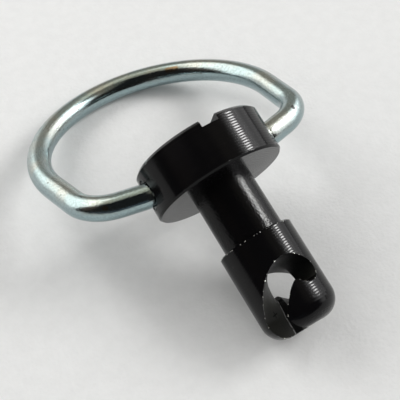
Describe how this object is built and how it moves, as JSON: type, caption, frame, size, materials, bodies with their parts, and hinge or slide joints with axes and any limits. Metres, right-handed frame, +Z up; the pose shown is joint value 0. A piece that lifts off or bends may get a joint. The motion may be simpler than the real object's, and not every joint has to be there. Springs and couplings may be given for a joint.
{
  "type": "quarter turn fastener",
  "caption": "Quarter turn fastener stud with a helical cam slot through its barrel, a slotted disc head and a wire bail pivoted in the head.",
  "frame": {"origin": "middle of the overall box's underside, on the ground", "axes": "+X along the bail's pivot, +Y from the stud's tip towards the bow of the bail, +Z up as the fastener lies"},
  "size_m": [0.0298, 0.0422, 0.0171],
  "materials": {
    "stud": "black anodised, fine turning marks",
    "bail": "bright zinc plate"
  },
  "bodies": {
    "stud": {"stud": "stud"},
    "bail": {"bail": "bail"}
  },
  "joints": [
    {"name": "bail_hinge", "type": "hinge", "parent": "stud", "child": "bail", "pos_m": [0, -0.00288, 0.00982], "axis": [1, 0, 0], "continuous": true}
  ]
}
